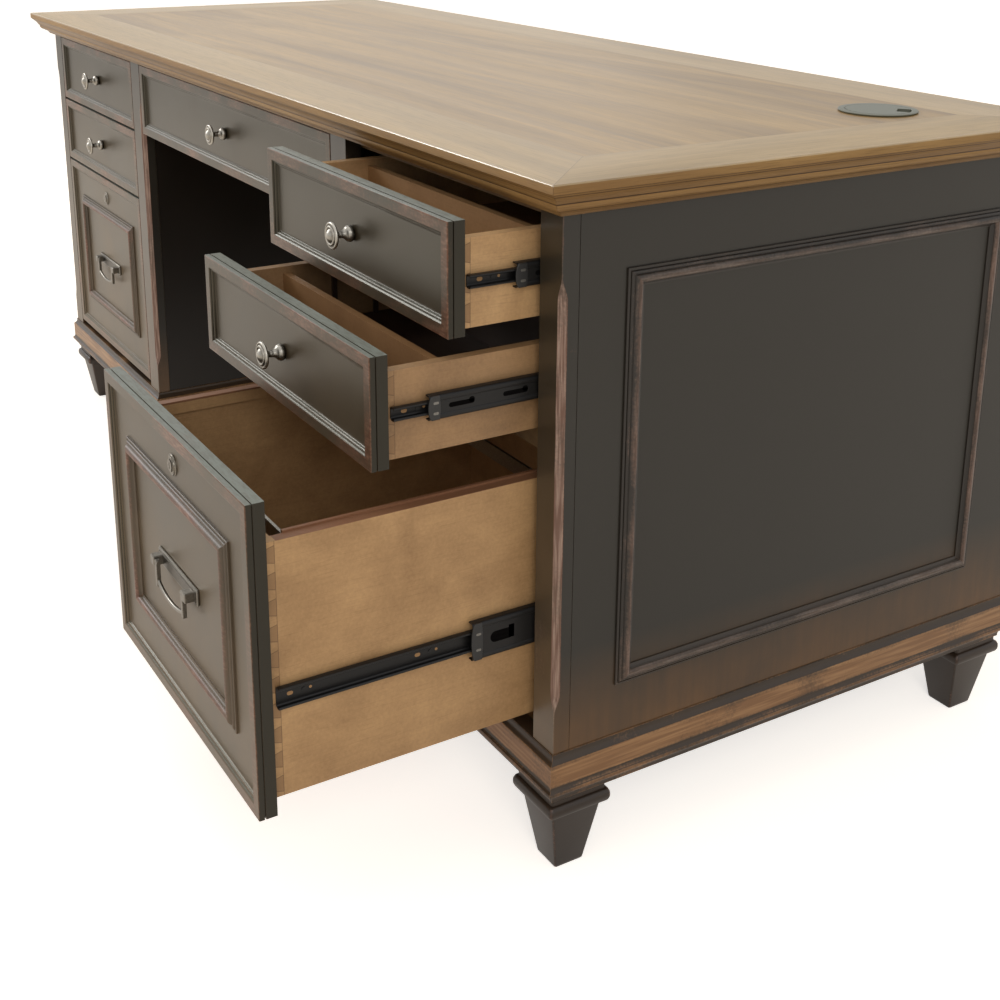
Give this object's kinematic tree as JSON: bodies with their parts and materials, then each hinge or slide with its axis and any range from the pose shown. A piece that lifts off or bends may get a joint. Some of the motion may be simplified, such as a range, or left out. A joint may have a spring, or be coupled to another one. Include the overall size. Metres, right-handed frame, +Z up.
{
  "type": "double pedestal desk",
  "caption": "Double pedestal desk in rubbed black paint with a brown mitred top, dovetailed drawers on ball-bearing slides, bail pulls, cam locks and square tapered feet.",
  "frame": {"origin": "on the floor, under the middle of the desk's box with the right-hand drawers open", "axes": "+X to the right of the sitter's side seen from the front, +Y from the drawer fronts to the back, +Z up"},
  "size_m": [1.83, 1.0016, 0.7675],
  "materials": {
    "black_paint": "satin black milk paint rubbed through to brown on the arrises",
    "top_veneer": "oiled brown veneer and solid edging",
    "drawer_wood": "clear lacquered pale hardwood",
    "carcase_wood": "unfinished plywood and softwood",
    "slide_steel": "black zinc plated pressed steel",
    "pewter": "antique pewter, worn on the high spots",
    "lock_steel": "satin nickel plated",
    "bar_steel": "plain pressed steel",
    "grommet_plastic": "moulded dark grey plastic"
  },
  "bodies": {
    "carcase": {"cabinet_channels": "slide_steel", "slide_cleats": "carcase_wood", "desktop_border": "top_veneer", "desktop_field": "top_veneer", "grommet_ring": "grommet_plastic", "stiles": "black_paint", "side_panels": "black_paint", "kneehole_panels": "black_paint", "back_panels": "black_paint", "panel_mouldings": "black_paint", "carcase_boards": "carcase_wood", "plinths": "black_paint", "feet": "black_paint"},
    "grommet_cap": {"grommet_cap": "grommet_plastic"},
    "centre_runners": {"centre_middle_channels": "slide_steel"},
    "centre_drawer": {"centre_front": "black_paint", "centre_box": "drawer_wood", "centre_drawer_channels": "slide_steel", "centre_knob": "pewter"},
    "right_top_runners": {"right_top_middle_channels": "slide_steel"},
    "right_top_drawer": {"right_top_front": "black_paint", "right_top_box": "drawer_wood", "right_top_drawer_channels": "slide_steel", "right_top_knob": "pewter"},
    "left_top_runners": {"left_top_middle_channels": "slide_steel"},
    "left_top_drawer": {"left_top_front": "black_paint", "left_top_box": "drawer_wood", "left_top_drawer_channels": "slide_steel", "left_top_knob": "pewter"},
    "right_middle_runners": {"right_middle_middle_channels": "slide_steel"},
    "right_middle_drawer": {"right_middle_front": "black_paint", "right_middle_box": "drawer_wood", "right_middle_drawer_channels": "slide_steel", "right_middle_dividers": "drawer_wood", "right_middle_knob": "pewter"},
    "left_middle_runners": {"left_middle_middle_channels": "slide_steel"},
    "left_middle_drawer": {"left_middle_front": "black_paint", "left_middle_box": "drawer_wood", "left_middle_drawer_channels": "slide_steel", "left_middle_dividers": "drawer_wood", "left_middle_knob": "pewter"},
    "right_file_runners": {"right_file_middle_channels": "slide_steel"},
    "right_file_drawer": {"right_file_front": "black_paint", "right_file_box": "drawer_wood", "right_file_drawer_channels": "slide_steel", "right_file_file_bars": "bar_steel", "right_file_bail_plate": "pewter", "right_file_lock_barrel": "lock_steel"},
    "right_file_bail": {"right_file_bail": "pewter"},
    "right_file_lock_plug": {"right_file_lock_plug": "lock_steel"},
    "left_file_runners": {"left_file_middle_channels": "slide_steel"},
    "left_file_drawer": {"left_file_front": "black_paint", "left_file_box": "drawer_wood", "left_file_drawer_channels": "slide_steel", "left_file_file_bars": "bar_steel", "left_file_bail_plate": "pewter", "left_file_lock_barrel": "lock_steel"},
    "left_file_bail": {"left_file_bail": "pewter"},
    "left_file_lock_plug": {"left_file_lock_plug": "lock_steel"}
  },
  "joints": [
    {"name": "grommet_cap_turn", "type": "hinge", "parent": "carcase", "child": "grommet_cap", "pos_m": [0.752, 0.33775, 0.765], "axis": [0, 0, 1], "continuous": true},
    {"name": "centre_runner_slide", "type": "slide", "parent": "carcase", "child": "centre_runners", "axis": [0, -1, 0], "range_m": [0, 0.222]},
    {"name": "centre_drawer_slide", "type": "slide", "parent": "centre_runners", "child": "centre_drawer", "axis": [0, -1, 0], "range_m": [0, 0.222]},
    {"name": "right_top_runner_slide", "type": "slide", "parent": "carcase", "child": "right_top_runners", "axis": [0, -1, 0], "range_m": [-0.05, 0.172]},
    {"name": "right_top_drawer_slide", "type": "slide", "parent": "right_top_runners", "child": "right_top_drawer", "axis": [0, -1, 0], "range_m": [-0.05, 0.172]},
    {"name": "left_top_runner_slide", "type": "slide", "parent": "carcase", "child": "left_top_runners", "axis": [0, -1, 0], "range_m": [0, 0.222]},
    {"name": "left_top_drawer_slide", "type": "slide", "parent": "left_top_runners", "child": "left_top_drawer", "axis": [0, -1, 0], "range_m": [0, 0.222]},
    {"name": "right_middle_runner_slide", "type": "slide", "parent": "carcase", "child": "right_middle_runners", "axis": [0, -1, 0], "range_m": [-0.145, 0.077]},
    {"name": "right_middle_drawer_slide", "type": "slide", "parent": "right_middle_runners", "child": "right_middle_drawer", "axis": [0, -1, 0], "range_m": [-0.0365, 0.1855]},
    {"name": "left_middle_runner_slide", "type": "slide", "parent": "carcase", "child": "left_middle_runners", "axis": [0, -1, 0], "range_m": [0, 0.222]},
    {"name": "left_middle_drawer_slide", "type": "slide", "parent": "left_middle_runners", "child": "left_middle_drawer", "axis": [0, -1, 0], "range_m": [0, 0.222]},
    {"name": "right_file_runner_slide", "type": "slide", "parent": "carcase", "child": "right_file_runners", "axis": [0, -1, 0], "range_m": [-0.098, 0.124]},
    {"name": "right_file_drawer_slide", "type": "slide", "parent": "right_file_runners", "child": "right_file_drawer", "axis": [0, -1, 0], "range_m": [-0.208, 0.014]},
    {"name": "right_file_bail_lift", "type": "hinge", "parent": "right_file_drawer", "child": "right_file_bail", "pos_m": [0.62775, -0.49745, 0.328], "axis": [-1, 0, 0], "range_deg": [-10, 80]},
    {"name": "right_file_lock_turn", "type": "hinge", "parent": "right_file_drawer", "child": "right_file_lock_plug", "pos_m": [0.62775, -0.49225, 0.4515], "axis": [0, -1, 0], "range_deg": [0, 90]},
    {"name": "left_file_runner_slide", "type": "slide", "parent": "carcase", "child": "left_file_runners", "axis": [0, -1, 0], "range_m": [0, 0.222]},
    {"name": "left_file_drawer_slide", "type": "slide", "parent": "left_file_runners", "child": "left_file_drawer", "axis": [0, -1, 0], "range_m": [0, 0.222]},
    {"name": "left_file_bail_lift", "type": "hinge", "parent": "left_file_drawer", "child": "left_file_bail", "pos_m": [-0.62775, -0.19145, 0.328], "axis": [-1, 0, 0], "range_deg": [-10, 80]},
    {"name": "left_file_lock_turn", "type": "hinge", "parent": "left_file_drawer", "child": "left_file_lock_plug", "pos_m": [-0.62775, -0.18625, 0.4515], "axis": [0, -1, 0], "range_deg": [0, 90]}
  ]
}
